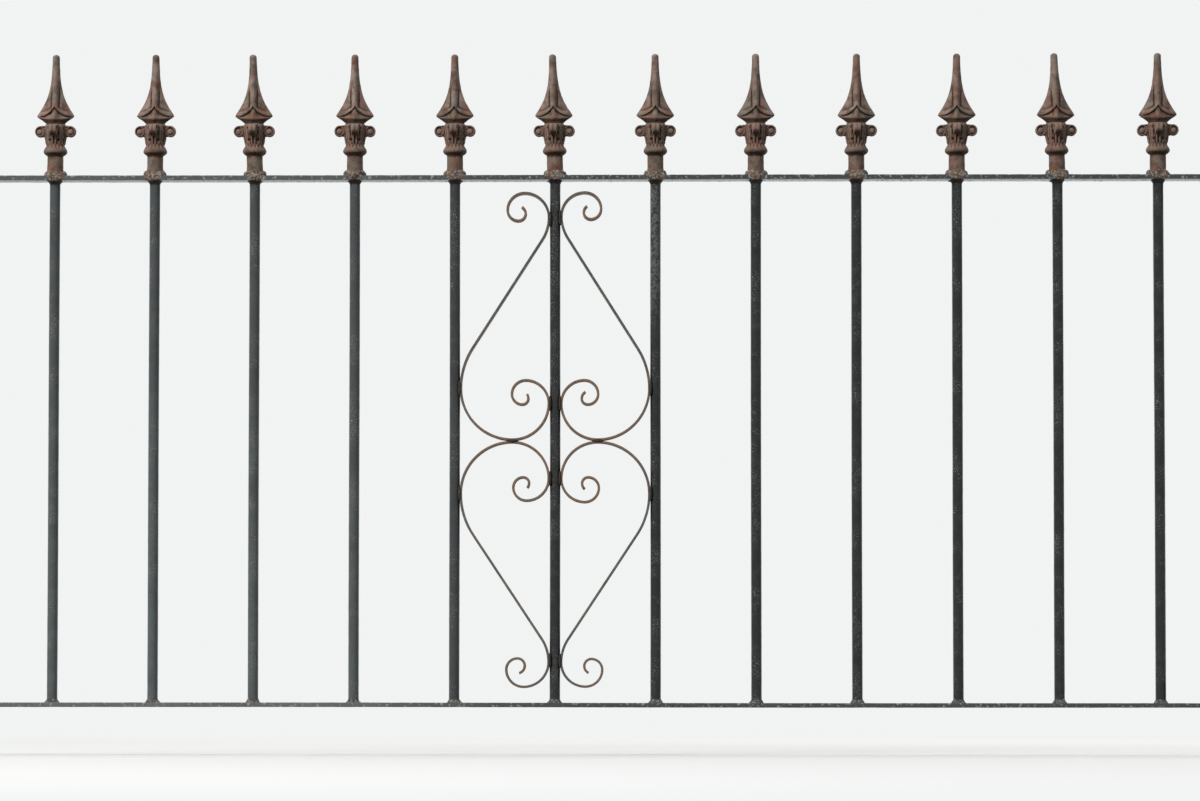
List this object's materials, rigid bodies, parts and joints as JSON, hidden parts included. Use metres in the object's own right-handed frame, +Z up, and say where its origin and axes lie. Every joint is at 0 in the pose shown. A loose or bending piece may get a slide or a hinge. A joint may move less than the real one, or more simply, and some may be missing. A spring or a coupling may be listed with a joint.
{
  "type": "steel railing fence panel",
  "caption": "Open railing panel of round steel bars between flat rails, with a heart of bent scrolls in the middle and a rusty cast spear finial over every bar.",
  "frame": {"origin": "middle of the outer face of the lower left fixing plate, level with the middle of the bottom rail and in the plane of the bars", "axes": "+X along the panel to its right end, +Z up, +Y away from the viewer of the picture, so the front faces -Y"},
  "size_m": [1.56, 0.0502, 0.8097],
  "materials": {
    "black_paint": "satin",
    "rusty_casting": "matte",
    "weld_metal": "matte"
  },
  "bodies": {
    "root": {"bar_01": "black_paint", "bar_02": "black_paint", "bar_03": "black_paint", "bar_04": "black_paint", "bar_05": "black_paint", "bar_06": "black_paint", "bar_07": "black_paint", "bar_08": "black_paint", "bar_09": "black_paint", "bar_10": "black_paint", "bar_11": "black_paint", "bar_12": "black_paint", "bar_13": "black_paint", "top_rail": "black_paint", "bottom_rail": "black_paint", "scroll_upper_left": "black_paint", "scroll_upper_right": "black_paint", "scroll_lower_left": "black_paint", "scroll_lower_right": "black_paint", "fixing_plate_lower_left": "black_paint", "fixing_plate_lower_right": "black_paint", "fixing_plate_upper_left": "black_paint", "fixing_plate_upper_right": "black_paint", "finial_01": "rusty_casting", "finial_02": "rusty_casting", "finial_03": "rusty_casting", "finial_04": "rusty_casting", "finial_05": "rusty_casting", "finial_06": "rusty_casting", "finial_07": "rusty_casting", "finial_08": "rusty_casting", "finial_09": "rusty_casting", "finial_10": "rusty_casting", "finial_11": "rusty_casting", "finial_12": "rusty_casting", "finial_13": "rusty_casting", "finial_welds": "weld_metal", "bar_head_welds": "weld_metal", "bar_foot_welds": "weld_metal", "scroll_welds": "weld_metal", "plate_welds": "weld_metal"}
  },
  "joints": []
}
